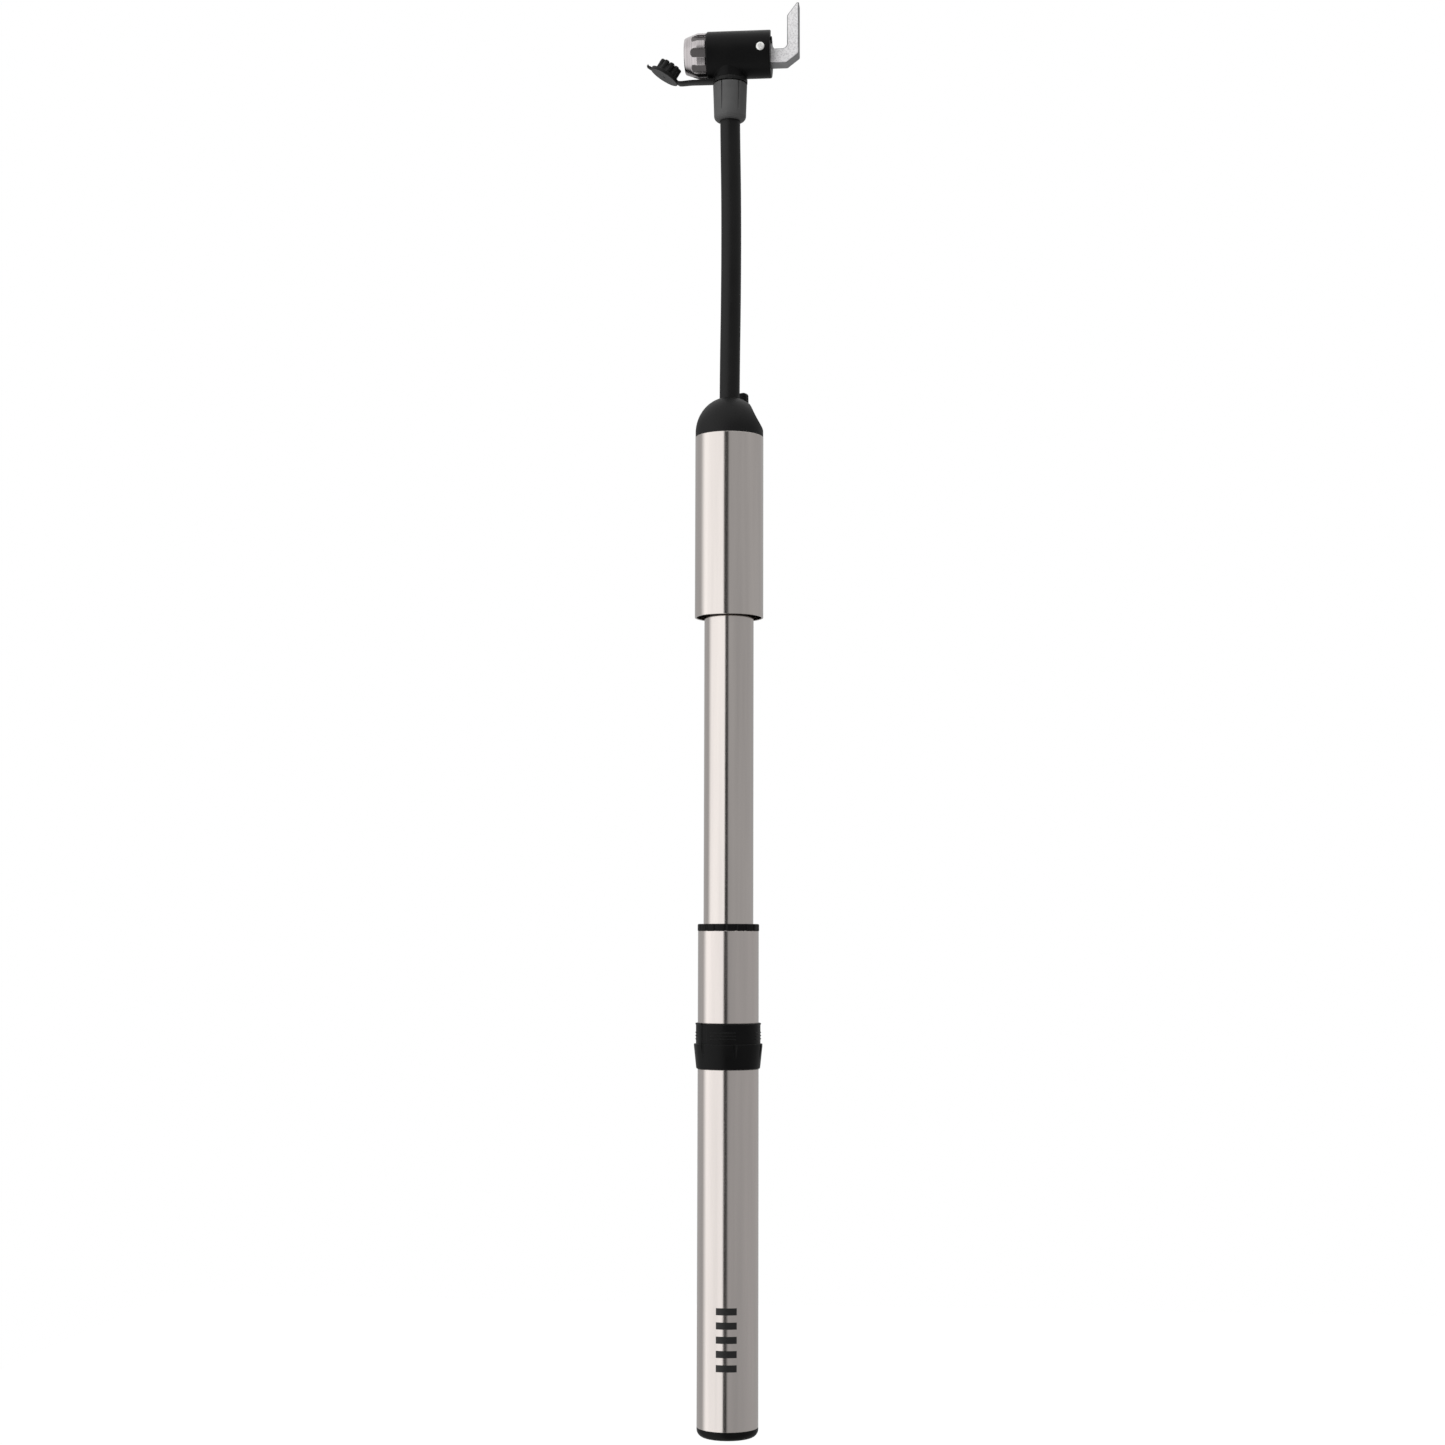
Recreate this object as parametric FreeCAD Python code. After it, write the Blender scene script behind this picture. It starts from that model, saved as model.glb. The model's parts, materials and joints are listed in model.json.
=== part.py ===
import FreeCAD, Part
import math
import os

from FreeCAD import Vector

# Mini hand pump, upright on its foot: Z is the pump's axis, X the head's axis, Y across the head.
# The handle is drawn right out and the hose is pulled out of the handle. Millimetres throughout.

Z_AXIS = Vector(0, 0, 1)
Y_AXIS = Vector(0, 1, 0)
X_AXIS = Vector(1, 0, 0)

# barrel
BARREL_R = 12.5
BARREL_BORE_R = 11.5
BARREL_BOTTOM = 3.8
BARREL_TOP = 203.5
FOOT_EDGE_R = 3.0
FOOT_CUP_TOP = 10.3
FOOT_CUP_R = 9.6
FOOT_FLOOR = 2.8
FOOT_GROOVE_R = 10.4
FOOT_GROOVE = (6.0, 8.0)
PAD_R = 8.0
PAD_THICK = 0.8
GLAND_R = 12.65
GLAND_BORE_R = 10.35
GLAND_BOTTOM = 199.0
GLAND_TOP = 206.3
GLAND_NOTCHES = 18
NOTCH_R = 1.1
WIPER_R = 11.1
WIPER_GROOVE = (202.2, 204.2)
BUSH_BOTTOM = 194.6

# lock collar on the barrel
COLLAR_BOTTOM = 147.2
COLLAR_FLANGE_TOP = 157.4
COLLAR_TOP = 165.9
COLLAR_FLANGE_R = 14.05
COLLAR_LOW_R = 13.1
SEAT_R = 13.25
RIB_R = 13.5
COLLAR_GROOVE_R = 12.2
COLLAR_FIRST_NOTCH = -73.0
COLLAR_NOTCHES = 6
THUMB_NOTCH_R = 1.0
THUMB_NOTCH_DEPTH = 0.6
RIB_RISES = (1.7, 3.0, 4.3)
RIB_ARC = 47.0
RIB_ARCS = 4
RIB_FIRST = -118.0

# handle
TUBE_R = 10.25
TUBE_BORE_R = 9.0
PISTON_R = 11.4
PISTON_NOSE_BOTTOM = 180.5
PISTON_NOSE_R = 9.0
PISTON_HEAD_BOTTOM = 187.5
PISTON_HEAD_TOP = 194.5
PISTON_TOP = 206.0
PISTON_BORE_R = 5.0
SEAL_GROOVE_R = 9.3
SEAL_GROOVE = (189.5, 192.5)
VALVE_SEAT = 193.0
VALVE_HOLE_R = 2.5
POPPET_R = 4.2
POPPET_BACK = 195.0
POPPET_STEM_R = 1.4
POPPET_TOP = 203.5
SPRING_TOP = 202.0
WIRE_R = 0.35
COIL_R = 2.6
COIL_PITCH = 1.5
RETAINER_TOP = 204.5
SLEEVE_R = 14.25
SLEEVE_BORE_R = 13.55
SLEEVE_BOTTOM = 333.4
SLEEVE_TOP = 409.5
CORE_BOTTOM = 386.0
CORE_TOP = 405.0
TUBE_TOP = 412.0
DOME_R = 14.2
DOME_SHOULDER = 411.5
DOME_RISE = 15.2
GLAND_CAVITY_TOP = 416.0
HOSE_HOLE_R = 4.6
LUG_AZIMUTH = 60.0
SCOOP_AZIMUTH = 14.0
SCOOP_R = 16.0
SCOOP_AT = Vector(23.9, -30.0, 425.0)
LUG_TOP = 430.0
LUG_HALF = 3.2
FIT_GAP = 0.03
SEAL_GAP = 0.05

# hose and ferrule
HOSE_R = 4.25
HOSE_BORE_R = 2.0
HOSE_BOTTOM = 401.0
HOSE_TOP = 557.0
PLUG_BOTTOM = 397.0
PLUG_TOP = 411.9
FERRULE_BOTTOM = 545.9
FERRULE_TOP = 562.0
FERRULE_TOP_R = 7.25
FERRULE_LOW_R = 6.8
STEM_R = 3.4
STEM_TOP = 568.2

# head
HEAD_Z = 574.8
HEAD_R = 10.0
HEAD_LEFT = -9.7
HEAD_RIGHT = 17.6
HEAD_BORE_R = 6.35
NECK_R = 7.3
NECK_STEP_R = 5.6
NECK_BOTTOM = 562.1
NECK_STEP = 564.0
NECK_SHOULDER = 567.1
THREAD_R = 7.6
THREAD_END = -13.6
NUT_FRONT = -19.1
NUT_BACK = -9.8
NUT_R = 9.55
NUT_FRONT_R = 7.65
NUT_MOUTH_R = 6.0
NUT_LIP = -14.5
NUT_FLUTES = 8
GASKET_BACK = -7.4
VALVE_R = 4.1
PIN_X = 13.6
PIN_R = 1.9
PIN_PROUD = 0.25
PIN_ROUNDING = 0.8
SLOT_HALF = 3.6
SLOT_LEFT = 10.9

# lever: the cam pushes the plunger 2.2 mm in a quarter turn
LEVER_HALF = 3.5
CAM_R = 4.25
CAM_LIFT = 2.2
BAR_TOP = 1.2
BAR_BOTTOM = -5.3
ELBOW_R = 2.1
BLADE_LEFT = 24.5
BLADE_RIGHT = 29.5
BLADE_TIP = 21.0

# dust cap on its strap
CAP_HINGE = Vector(-16.9, 0, 563.7)
CAP_OPEN_ANGLE = 59.0
CAP_R = 6.6
CAP_DISC_R = 6.1
CAP_DISC_DEPTH = 0.6
CAP_FACE = -20.65
CAP_BACK = -19.25
CAP_PLUG_R = 5.6
CAP_PLUG_TIP_R = 4.8
CAP_PLUG_END = -15.0
CAP_TAB_HALF = 1.5
CAP_TAB_REACH = 8.7
BEAD_R = 0.65
KNUCKLE_ROOM_R = 1.15
STRAP_HALF = 2.75
STRAP_LOW = 562.8
STRAP_HIGH = 563.95


def outline(points):
    # closed outline in the XZ plane; a four-number entry is an arc through its last two numbers
    edges = []
    start = points[0]
    for point in points[1:] + [points[0][:2]]:
        a = Vector(start[0], 0, start[1])
        b = Vector(point[0], 0, point[1])
        if len(point) == 4:
            edges.append(Part.Arc(a, Vector(point[2], 0, point[3]), b).toShape())
        elif a.distanceToPoint(b) > 1e-7:
            edges.append(Part.LineSegment(a, b).toShape())
        start = point
    return Part.Face(Part.Wire(edges))


def turned(points):
    # solid of revolution about Z from (radius, height) points
    return outline(points).revolve(Vector(0, 0, 0), Z_AXIS, 360)


def ring(inner, outer, low, high):
    return turned([(inner, low), (outer, low), (outer, high), (inner, high)])


def rod_x(radius, x0, x1, y=0.0, z=HEAD_Z):
    return Part.makeCylinder(radius, x1 - x0, Vector(x0, y, z), X_AXIS)


def turned_x(points):
    # solid of revolution about the head's axis from (x, radius) points
    solid = turned([(point[1], point[0]) + (() if len(point) == 2 else (point[3], point[2]))
                    for point in points])
    solid.rotate(Vector(0, 0, 0), Y_AXIS, 90)
    solid.translate(Vector(0, 0, HEAD_Z))
    return solid


def slab(points, half):
    # outline in the XZ plane, thickened equally both ways along Y
    solid = outline(points).extrude(Vector(0, 2 * half, 0))
    solid.translate(Vector(0, -half, 0))
    return solid


def around(solid, count, first=0.0):
    copies = []
    for index in range(count):
        copy = solid.copy()
        copy.rotate(Vector(0, 0, 0), Z_AXIS, first + index * 360.0 / count)
        copies.append(copy)
    return Part.makeCompound(copies)


def circles(solid, radius, height):
    # round edges about Z with this radius at this height
    found = []
    for edge in solid.Edges:
        curve = edge.Curve
        if isinstance(curve, Part.Circle) and abs(curve.Radius - radius) < 1e-4:
            if abs(curve.Center.z - height) < 1e-4 and abs(curve.Axis.z) > 0.99:
                found.append(edge)
    return found


def circles_x(solid, radius, x):
    # round edges about the head's axis with this radius at this x
    found = []
    for edge in solid.Edges:
        curve = edge.Curve
        if isinstance(curve, Part.Circle) and abs(curve.Radius - radius) < 1e-4:
            if abs(curve.Center.x - x) < 1e-4 and abs(curve.Axis.x) > 0.99:
                found.append(edge)
    return found


parts = {}

# barrel tube, open at both ends, with a shallow groove that locates the lock collar
tube = turned([
    (BARREL_BORE_R, BARREL_BOTTOM), (BARREL_R, BARREL_BOTTOM), (BARREL_R, COLLAR_BOTTOM),
    (COLLAR_GROOVE_R, COLLAR_BOTTOM), (COLLAR_GROOVE_R, COLLAR_TOP), (BARREL_R, COLLAR_TOP),
    (BARREL_R, BARREL_TOP), (BARREL_BORE_R, BARREL_TOP)])
parts["barrel_tube"] = tube.makeChamfer(0.15, circles(tube, BARREL_R, BARREL_TOP))

# foot cap: a cup pressed into the barrel, with a groove for its seal and a large round edge below
corner = FOOT_EDGE_R * (1 - math.sqrt(0.5))
cap = turned([
    (0, 0), (BARREL_R - FOOT_EDGE_R, 0),
    (BARREL_R, FOOT_EDGE_R, BARREL_R - corner, corner),
    (BARREL_R, BARREL_BOTTOM), (BARREL_BORE_R, BARREL_BOTTOM),
    (BARREL_BORE_R, FOOT_GROOVE[0]), (FOOT_GROOVE_R, FOOT_GROOVE[0]),
    (FOOT_GROOVE_R, FOOT_GROOVE[1]), (BARREL_BORE_R, FOOT_GROOVE[1]),
    (BARREL_BORE_R, FOOT_CUP_TOP), (FOOT_CUP_R, FOOT_CUP_TOP),
    (FOOT_CUP_R, FOOT_FLOOR), (0, FOOT_FLOOR)])
parts["foot_cap"] = cap
low, high = FOOT_GROOVE[0] + SEAL_GAP, FOOT_GROOVE[1] - SEAL_GAP
seal = ring(FOOT_GROOVE_R + SEAL_GAP, BARREL_BORE_R, low, high)
rims = circles(seal, BARREL_BORE_R, low) + circles(seal, BARREL_BORE_R, high)
parts["foot_seal"] = seal.makeFillet(0.4, rims)
pad = Part.makeCylinder(PAD_R, PAD_THICK, Vector(0, 0, FOOT_FLOOR))
parts["bumper_pad"] = pad.makeFillet(0.3, circles(pad, PAD_R, FOOT_FLOOR + PAD_THICK))

# gland nut: screwed into the barrel's top, with shallow grip notches round its edge
gland = turned([
    (GLAND_BORE_R, GLAND_BOTTOM), (BARREL_BORE_R, GLAND_BOTTOM), (BARREL_BORE_R, BARREL_TOP),
    (GLAND_R, BARREL_TOP), (GLAND_R, GLAND_TOP), (GLAND_BORE_R, GLAND_TOP),
    (GLAND_BORE_R, WIPER_GROOVE[1]), (WIPER_R, WIPER_GROOVE[1]),
    (WIPER_R, WIPER_GROOVE[0]), (GLAND_BORE_R, WIPER_GROOVE[0])])
gland = gland.makeFillet(0.5, circles(gland, GLAND_R, GLAND_TOP))
notch = Part.makeCylinder(NOTCH_R, 4.0, Vector(GLAND_R + NOTCH_R - 0.35, 0, BARREL_TOP - 0.6))
parts["gland_nut"] = gland.cut(around(notch, GLAND_NOTCHES, 10.0))
parts["wiper_ring"] = ring(TUBE_R + FIT_GAP, WIPER_R, WIPER_GROOVE[0] + SEAL_GAP, WIPER_GROOVE[1] - SEAL_GAP)
parts["guide_bush"] = ring(TUBE_R + SEAL_GAP, BARREL_BORE_R, BUSH_BOTTOM, GLAND_BOTTOM)

# lock collar: grip flange below, ribbed seat above that the handle sleeve pushes onto
seat = [(COLLAR_GROOVE_R, COLLAR_BOTTOM), (COLLAR_LOW_R - 0.7, COLLAR_BOTTOM),
        (COLLAR_LOW_R + 0.05, COLLAR_BOTTOM + 0.8, COLLAR_LOW_R - 0.15, COLLAR_BOTTOM + 0.25),
        (COLLAR_FLANGE_R, COLLAR_FLANGE_TOP - 0.9), (COLLAR_FLANGE_R, COLLAR_FLANGE_TOP),
        (SEAT_R, COLLAR_FLANGE_TOP)]
seat += [(SEAT_R, COLLAR_TOP - 0.7), (RIB_R, COLLAR_TOP - 0.6), (RIB_R, COLLAR_TOP - 0.25),
         (RIB_R - 0.25, COLLAR_TOP), (COLLAR_GROOVE_R, COLLAR_TOP)]
collar = turned(seat)
thumb_notch = Part.makeCylinder(
    THUMB_NOTCH_R, 12.0, Vector(COLLAR_FLANGE_R + THUMB_NOTCH_R - THUMB_NOTCH_DEPTH, 0, COLLAR_BOTTOM + 1.6))
collar = collar.cut(around(thumb_notch, COLLAR_NOTCHES, COLLAR_FIRST_NOTCH))
for rise in RIB_RISES:
    low = COLLAR_FLANGE_TOP + rise
    rib = outline([(SEAT_R - 0.4, low - 0.3), (RIB_R, low + 0.2), (RIB_R, low + 0.45),
                   (SEAT_R - 0.4, low + 0.95)])
    rib_arc = rib.revolve(Vector(0, 0, 0), Z_AXIS, RIB_ARC)
    for index in range(RIB_ARCS):
        copy = rib_arc.copy()
        copy.rotate(Vector(0, 0, 0), Z_AXIS, RIB_FIRST + index * 360.0 / RIB_ARCS)
        collar = collar.fuse(copy)
relief = Part.makeBox(2.0, 3.0, 12.0, Vector(BARREL_R + 0.45, -1.5, COLLAR_FLANGE_TOP))
relief.rotate(Vector(0, 0, 0), Z_AXIS, COLLAR_FIRST_NOTCH - 60.0)
parts["lock_collar"] = collar.cut(relief)

# inner tube and the piston on its lower end
parts["inner_tube"] = ring(TUBE_BORE_R, TUBE_R, PISTON_HEAD_TOP, TUBE_TOP)
parts["piston"] = turned([
    (VALVE_HOLE_R, PISTON_NOSE_BOTTOM), (PISTON_NOSE_R - 1.0, PISTON_NOSE_BOTTOM),
    (PISTON_NOSE_R, PISTON_NOSE_BOTTOM + 1.0), (PISTON_NOSE_R, PISTON_HEAD_BOTTOM),
    (PISTON_R, PISTON_HEAD_BOTTOM), (PISTON_R, SEAL_GROOVE[0]), (SEAL_GROOVE_R, SEAL_GROOVE[0]),
    (SEAL_GROOVE_R, SEAL_GROOVE[1]), (PISTON_R, SEAL_GROOVE[1]), (PISTON_R, PISTON_HEAD_TOP),
    (TUBE_BORE_R, PISTON_HEAD_TOP), (TUBE_BORE_R, PISTON_TOP), (PISTON_BORE_R, PISTON_TOP),
    (PISTON_BORE_R, VALVE_SEAT), (VALVE_HOLE_R, VALVE_SEAT)])
outer = BARREL_BORE_R - SEAL_GAP
low, high = SEAL_GROOVE[0] + 4 * SEAL_GAP, SEAL_GROOVE[1] - 4 * SEAL_GAP
ring_seal = ring(SEAL_GROOVE_R + 2 * SEAL_GAP, outer, low, high)
rims = circles(ring_seal, outer, low) + circles(ring_seal, outer, high)
parts["piston_seal"] = ring_seal.makeFillet(0.6, rims)

# check valve: mushroom poppet, spring and retainer
parts["valve_poppet"] = turned([
    (0, VALVE_SEAT + SEAL_GAP), (POPPET_R, VALVE_SEAT + SEAL_GAP), (POPPET_R, POPPET_BACK - 0.4),
    (POPPET_R - 0.4, POPPET_BACK), (POPPET_STEM_R, POPPET_BACK), (POPPET_STEM_R, POPPET_TOP - 0.4),
    (POPPET_STEM_R - 0.3, POPPET_TOP), (0, POPPET_TOP)])
coil = Part.makeHelix(COIL_PITCH, SPRING_TOP - POPPET_BACK - 2 * WIRE_R, COIL_R)
coil.translate(Vector(0, 0, POPPET_BACK + WIRE_R))
wire = Part.Wire(Part.makeCircle(WIRE_R, Vector(COIL_R, 0, POPPET_BACK + WIRE_R), Y_AXIS))
parts["valve_spring"] = Part.Wire(coil.Edges).makePipeShell([wire], True, True)
retainer = ring(POPPET_STEM_R + 0.1, PISTON_BORE_R, SPRING_TOP, RETAINER_TOP)
port = Part.makeCylinder(0.8, 4.0, Vector(3.9, 0, SPRING_TOP - 0.5))
parts["valve_retainer"] = retainer.cut(around(port, 6, 30.0))

# handle sleeve and the core that centres it on the inner tube
parts["handle_sleeve"] = ring(SLEEVE_BORE_R, SLEEVE_R, SLEEVE_BOTTOM, SLEEVE_TOP)
core = ring(TUBE_R + FIT_GAP, SLEEVE_BORE_R - FIT_GAP, CORE_BOTTOM, CORE_TOP)
lightening = ring(TUBE_R + 1.0, SLEEVE_BORE_R - 0.9, CORE_BOTTOM - 1.0, CORE_BOTTOM + 14.0)
parts["sleeve_core"] = core.cut(lightening)

# dome cap: half an ellipse in section, scooped beside the raised lug
dome_points = []
for step in range(13):
    angle = math.radians(step * 71.1 / 12)
    dome_points.append(Vector(DOME_R * math.cos(angle), 0, DOME_SHOULDER + DOME_RISE * math.sin(angle)))
dome_curve = Part.BSplineCurve()
dome_curve.interpolate(dome_points)
crown = dome_points[-1]
straights = [
    Vector(crown.x - 0.35, 0, crown.z - 0.1), Vector(HOSE_HOLE_R - 0.05, 0, crown.z - 0.5),
    Vector(HOSE_HOLE_R - 0.05, 0, GLAND_CAVITY_TOP), Vector(TUBE_BORE_R, 0, GLAND_CAVITY_TOP),
    Vector(TUBE_BORE_R, 0, TUBE_TOP), Vector(TUBE_R + FIT_GAP, 0, TUBE_TOP),
    Vector(TUBE_R + FIT_GAP, 0, CORE_TOP), Vector(SLEEVE_BORE_R - FIT_GAP, 0, CORE_TOP),
    Vector(SLEEVE_BORE_R - FIT_GAP, 0, SLEEVE_TOP),
    Vector(DOME_R, 0, SLEEVE_TOP), dome_points[0]]
edges = [dome_curve.toShape()]
here = crown
for corner_point in straights:
    edges.append(Part.LineSegment(here, corner_point).toShape())
    here = corner_point
dome = Part.Face(Part.Wire(edges)).revolve(Vector(0, 0, 0), Z_AXIS, 360)
scoop = Part.makeCylinder(SCOOP_R, 60.0, SCOOP_AT, Y_AXIS)
scoop.rotate(Vector(0, 0, 0), Z_AXIS, SCOOP_AZIMUTH)
dome = dome.cut(scoop)
lug = slab([
    (7.6, 418.0), (10.4, 418.0), (9.5, 423.0), (9.3, LUG_TOP - 1.0),
    (8.6, LUG_TOP, 9.1, LUG_TOP - 0.3), (7.6, LUG_TOP)], LUG_HALF)
long_edges = [edge for edge in lug.Edges
              if edge.BoundBox.ZMin > LUG_TOP - 0.1 and edge.BoundBox.XLength > 0.5 and edge.BoundBox.YLength < 0.1]
lug = lug.makeFillet(1.6, long_edges)
lug.rotate(Vector(0, 0, 0), Z_AXIS, LUG_AZIMUTH)
parts["dome_cap"] = dome.fuse(lug).removeSplitter()
parts["hose_gland"] = ring(HOSE_R + 0.05, TUBE_BORE_R, TUBE_TOP, GLAND_CAVITY_TOP)

# hose with a brass plug on its lower end
parts["hose"] = ring(HOSE_BORE_R, HOSE_R, HOSE_BOTTOM, HOSE_TOP)
parts["hose_plug"] = turned([
    (1.2, PLUG_BOTTOM), (7.9, PLUG_BOTTOM), (8.9, PLUG_BOTTOM + 1.0), (8.9, 402.0), (7.2, 402.0), (7.2, 405.0),
    (8.9, 405.0), (8.9, PLUG_TOP - 0.5), (8.4, PLUG_TOP), (HOSE_R, PLUG_TOP), (HOSE_R, HOSE_BOTTOM),
    (HOSE_BORE_R, HOSE_BOTTOM), (HOSE_BORE_R, 409.0), (1.2, 409.0)])
plug_seal = ring(7.22, TUBE_BORE_R - 0.05, 402.1, 404.9)
outer_edges = circles(plug_seal, TUBE_BORE_R - 0.05, 402.1) + circles(plug_seal, TUBE_BORE_R - 0.05, 404.9)
parts["plug_seal"] = plug_seal.makeFillet(0.7, outer_edges)

# ferrule with six grooves, round lower edge
low_edge = 2.2
bend = low_edge * (1 - math.sqrt(0.5))
ferrule = turned([
    (HOSE_R, FERRULE_BOTTOM), (FERRULE_LOW_R - low_edge, FERRULE_BOTTOM),
    (FERRULE_LOW_R, FERRULE_BOTTOM + low_edge, FERRULE_LOW_R - bend, FERRULE_BOTTOM + bend),
    (FERRULE_TOP_R, FERRULE_TOP - 0.5), (FERRULE_TOP_R - 0.4, FERRULE_TOP), (5.2, FERRULE_TOP),
    (5.2, HOSE_TOP), (HOSE_R, HOSE_TOP)])
groove = Part.makeBox(1.2, 0.7, 12.5, Vector(FERRULE_LOW_R - 0.15, -0.35, FERRULE_TOP - 12.5))
parts["ferrule"] = ferrule.cut(around(groove, 6, -54.0))

# swivel stem: barb in the hose, collar in the ferrule, spigot in the head's neck
parts["swivel_stem"] = turned([
    (1.2, 547.0), (1.8, 547.0), (HOSE_BORE_R, 547.8), (HOSE_BORE_R, HOSE_TOP), (5.2, HOSE_TOP), (5.2, 561.8),
    (STEM_R, 561.8), (STEM_R, 563.4), (2.5, 563.4), (2.5, 565.2), (STEM_R, 565.2), (STEM_R, 567.2),
    (2.8, 567.2), (2.8, 567.9), (STEM_R, 567.9), (STEM_R, STEM_TOP), (1.2, STEM_TOP)])
parts["swivel_seal"] = ring(2.52, STEM_R + 0.02, 563.45, 565.15)
clip = ring(2.8, 4.6, 567.2, 567.9)
parts["swivel_clip"] = clip.cut(Part.makeBox(4.0, 2.4, 2.0, Vector(2.0, -1.2, 566.6)))

# head body: cylinder on a short neck, threaded spigot at the left, lever slot at the right
body = rod_x(HEAD_R, HEAD_LEFT, HEAD_RIGHT)
body = body.makeFillet(0.6, circles_x(body, HEAD_R, HEAD_LEFT) + circles_x(body, HEAD_R, HEAD_RIGHT))
neck = Part.makeCylinder(NECK_R, HEAD_Z - NECK_STEP, Vector(0, 0, NECK_STEP))
step = Part.makeCylinder(NECK_STEP_R, 4.0, Vector(0, 0, NECK_BOTTOM))
body = body.fuse([neck, step, rod_x(THREAD_R, THREAD_END, 0)])
for side in (-1, 1):
    nub = Part.makeCylinder(0.8, 3.6, Vector(HEAD_RIGHT - 0.1, side * 5.7 - 1.8, HEAD_Z + 3.9), Y_AXIS)
    body = body.fuse(nub)
body = body.cut(rod_x(HEAD_BORE_R, THREAD_END - 1, 9.6))
body = body.cut(Part.makeCylinder(STEM_R + 0.05, 8.0, Vector(0, 0, NECK_BOTTOM - 1)))
body = body.cut(Part.makeCylinder(5.0, 4.0, Vector(0, 0, NECK_SHOULDER)))
body = body.cut(Part.makeCylinder(7.3, 2 * SLOT_HALF, Vector(PIN_X, -SLOT_HALF, HEAD_Z), Y_AXIS))
body = body.cut(Part.makeBox(10.0, 2 * SLOT_HALF, 20.0, Vector(SLOT_LEFT, -SLOT_HALF, HEAD_Z - 5.6)))
body = body.cut(Part.makeCylinder(PIN_R, 30.0, Vector(PIN_X, -15.0, HEAD_Z), Y_AXIS))
parts["head_body"] = body.removeSplitter()
pin_end = HEAD_R + PIN_PROUD
pin = Part.makeCylinder(PIN_R, 2 * pin_end, Vector(PIN_X, -pin_end, HEAD_Z), Y_AXIS)
pin_rims = [edge for edge in pin.Edges if isinstance(edge.Curve, Part.Circle)]
parts["lever_pin"] = pin.makeFillet(PIN_ROUNDING, pin_rims)

# valve gasket with the bore a tyre valve goes into
parts["valve_gasket"] = turned_x([
    (THREAD_END, VALVE_R + 0.6), (THREAD_END + 0.6, VALVE_R), (GASKET_BACK, VALVE_R),
    (GASKET_BACK, HEAD_BORE_R), (THREAD_END, HEAD_BORE_R)])

# nozzle nut: cone in front, cylinder behind, eight round-ended flutes open towards the head
nut = turned_x([
    (NUT_BACK, THREAD_R + 0.05), (THREAD_END - 0.05, THREAD_R + 0.05), (THREAD_END - 0.05, 5.5), (NUT_LIP, 5.5),
    (NUT_LIP, NUT_MOUTH_R), (NUT_FRONT, NUT_MOUTH_R), (NUT_FRONT, NUT_FRONT_R - 0.3),
    (NUT_FRONT + 0.3, NUT_FRONT_R), (THREAD_END + 0.1, NUT_R), (NUT_BACK - 0.3, NUT_R), (NUT_BACK, NUT_R - 0.3)])
flute = Part.makeCylinder(2.0, 4.0, Vector(-14.4, 0, HEAD_Z + NUT_R - 1.0))
flute = flute.fuse(Part.makeBox(8.0, 4.0, 4.0, Vector(-14.4, -2.0, HEAD_Z + NUT_R - 1.0)))
flutes = []
for index in range(NUT_FLUTES):
    copy = flute.copy()
    copy.rotate(Vector(0, 0, HEAD_Z), X_AXIS, 100.0 + index * 360.0 / NUT_FLUTES)
    flutes.append(copy)
parts["nozzle_nut"] = nut.cut(Part.makeCompound(flutes))

# plunger behind the gasket, with an air gallery and a seal
plunger = turned_x([
    (-5.0, 0), (-5.0, 5.9), (-4.6, 6.3), (-3.4, 6.3), (-3.4, 4.2), (3.6, 4.2), (3.6, 6.3), (5.0, 6.3),
    (5.0, 5.0), (7.0, 5.0), (7.0, 6.3), (8.9, 6.3), (9.3, 5.9), (9.3, 0)])
plunger = plunger.cut(rod_x(1.2, -6.0, 0.6))
plunger = plunger.cut(Part.makeCylinder(1.2, 12.0, Vector(-0.6, 0, HEAD_Z - 6.0)))
parts["plunger"] = plunger
parts["plunger_seal"] = turned_x([(5.1, 5.02), (5.1, 6.32), (6.9, 6.32), (6.9, 5.02)])

# lever: the cam flank rises evenly with the angle, so the plunger follows it at a constant ratio
rate = CAM_LIFT / (math.pi / 2)
cam_points = []
for step in range(13):
    angle = math.pi - step * (math.pi / 2) / 12
    reach = CAM_R + rate * (math.pi - angle)
    x = reach * math.cos(angle) + rate * math.sin(angle)
    z = reach * math.sin(angle) - rate * math.cos(angle)
    cam_points.append(Vector(PIN_X + x, 0, HEAD_Z + z))
cam_curve = Part.BSplineCurve()
cam_curve.interpolate(cam_points)
half = CAM_R * math.sqrt(0.5)
elbow = ELBOW_R * math.sqrt(0.5)
corners = [
    (16.2, 6.45), (18.0, 4.6), (18.6, BAR_TOP), (BLADE_LEFT - ELBOW_R, BAR_TOP),
    (BLADE_LEFT, BAR_TOP + ELBOW_R, BLADE_LEFT - ELBOW_R + elbow, BAR_TOP + ELBOW_R - elbow),
    (BLADE_LEFT, 15.5), (28.6, BLADE_TIP), (BLADE_RIGHT, BLADE_TIP), (BLADE_RIGHT, -1.3),
    (24.3, BAR_BOTTOM), (17.0, BAR_BOTTOM), (PIN_X, -CAM_R), (PIN_X - CAM_R, 0, PIN_X - half, -half)]
edges = [cam_curve.toShape()]
here = cam_points[-1]
for corner_point in corners:
    there = Vector(corner_point[0], 0, HEAD_Z + corner_point[1])
    if len(corner_point) == 4:
        middle = Vector(corner_point[2], 0, HEAD_Z + corner_point[3])
        edges.append(Part.Arc(here, middle, there).toShape())
    else:
        edges.append(Part.LineSegment(here, there).toShape())
    here = there
edges.append(Part.LineSegment(here, cam_points[0]).toShape())
lever = Part.Face(Part.Wire(edges)).extrude(Vector(0, 2 * LEVER_HALF, 0))
lever.translate(Vector(0, -LEVER_HALF, 0))
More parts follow.
